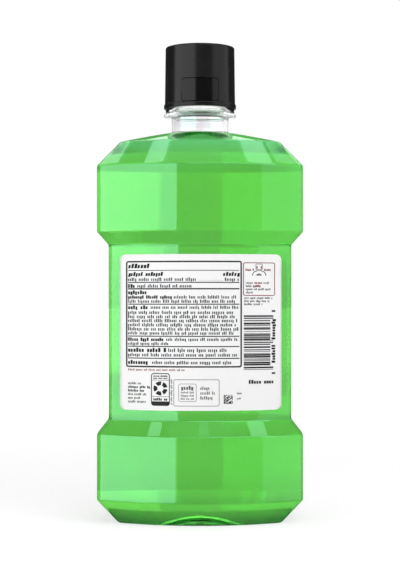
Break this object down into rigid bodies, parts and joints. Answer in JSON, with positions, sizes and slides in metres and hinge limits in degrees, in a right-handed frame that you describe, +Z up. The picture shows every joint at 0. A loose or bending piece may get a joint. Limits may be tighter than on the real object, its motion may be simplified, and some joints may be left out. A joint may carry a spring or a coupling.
{
  "type": "mouthwash bottle",
  "caption": "Clear waisted bottle of green mouthwash with a plain back label and a black squeeze-and-turn dosing cap that unscrews and lifts off.",
  "frame": {"origin": "middle of the base, on the plane that the bottle stands on", "axes": "+Z up along the neck, +X along the wide way of the body, -Y towards the side that carries the label"},
  "size_m": [0.1054, 0.075, 0.2437],
  "materials": {
    "clear_pet": "polished",
    "green_liquid": "polished",
    "label_paper": "matte",
    "seal_foam": "matte",
    "black_polypropylene": "satin"
  },
  "bodies": {
    "bottle": {"bottle": "clear_pet", "mouthwash": "green_liquid", "back_label": "label_paper"},
    "seal": {"seal_ring": "seal_foam"},
    "cap": {"cap_shell": "black_polypropylene"},
    "pad_near": {"squeeze_pad_near": "black_polypropylene"},
    "pad_far": {"squeeze_pad_far": "black_polypropylene"},
    "tab_left": {"lock_tab_left": "black_polypropylene"},
    "tab_right": {"lock_tab_right": "black_polypropylene"}
  },
  "joints": [
    {"name": "cap_lift", "type": "slide", "parent": "bottle", "child": "seal", "axis": [0, 0, 1], "range_m": [0, 0.03]},
    {"name": "cap_turn", "type": "hinge", "parent": "seal", "child": "cap", "pos_m": [0, 0, 0.21185], "axis": [0, 0, 1], "range_deg": [0, 540]},
    {"name": "pad_near_squeeze", "type": "hinge", "parent": "cap", "child": "pad_near", "pos_m": [0, -0.01742, 0.2258], "axis": [1, 0, 0], "range_deg": [0, 6], "stiffness_Nm_per_rad": 0.6},
    {"name": "pad_far_squeeze", "type": "hinge", "parent": "cap", "child": "pad_far", "pos_m": [0, 0.01742, 0.2258], "axis": [-1, 0, 0], "range_deg": [0, 6]},
    {"name": "tab_left_release", "type": "slide", "parent": "cap", "child": "tab_left", "axis": [-1, 0, 0], "range_m": [0, 0.001]},
    {"name": "tab_right_release", "type": "slide", "parent": "cap", "child": "tab_right", "axis": [1, 0, 0], "range_m": [0, 0.001]}
  ],
  "couplings": [
    {"joint": "pad_far_squeeze", "follows": "pad_near_squeeze", "ratio": 1},
    {"joint": "tab_left_release", "follows": "pad_near_squeeze", "m_per_rad": 0.0095},
    {"joint": "tab_right_release", "follows": "pad_near_squeeze", "m_per_rad": 0.0095}
  ]
}
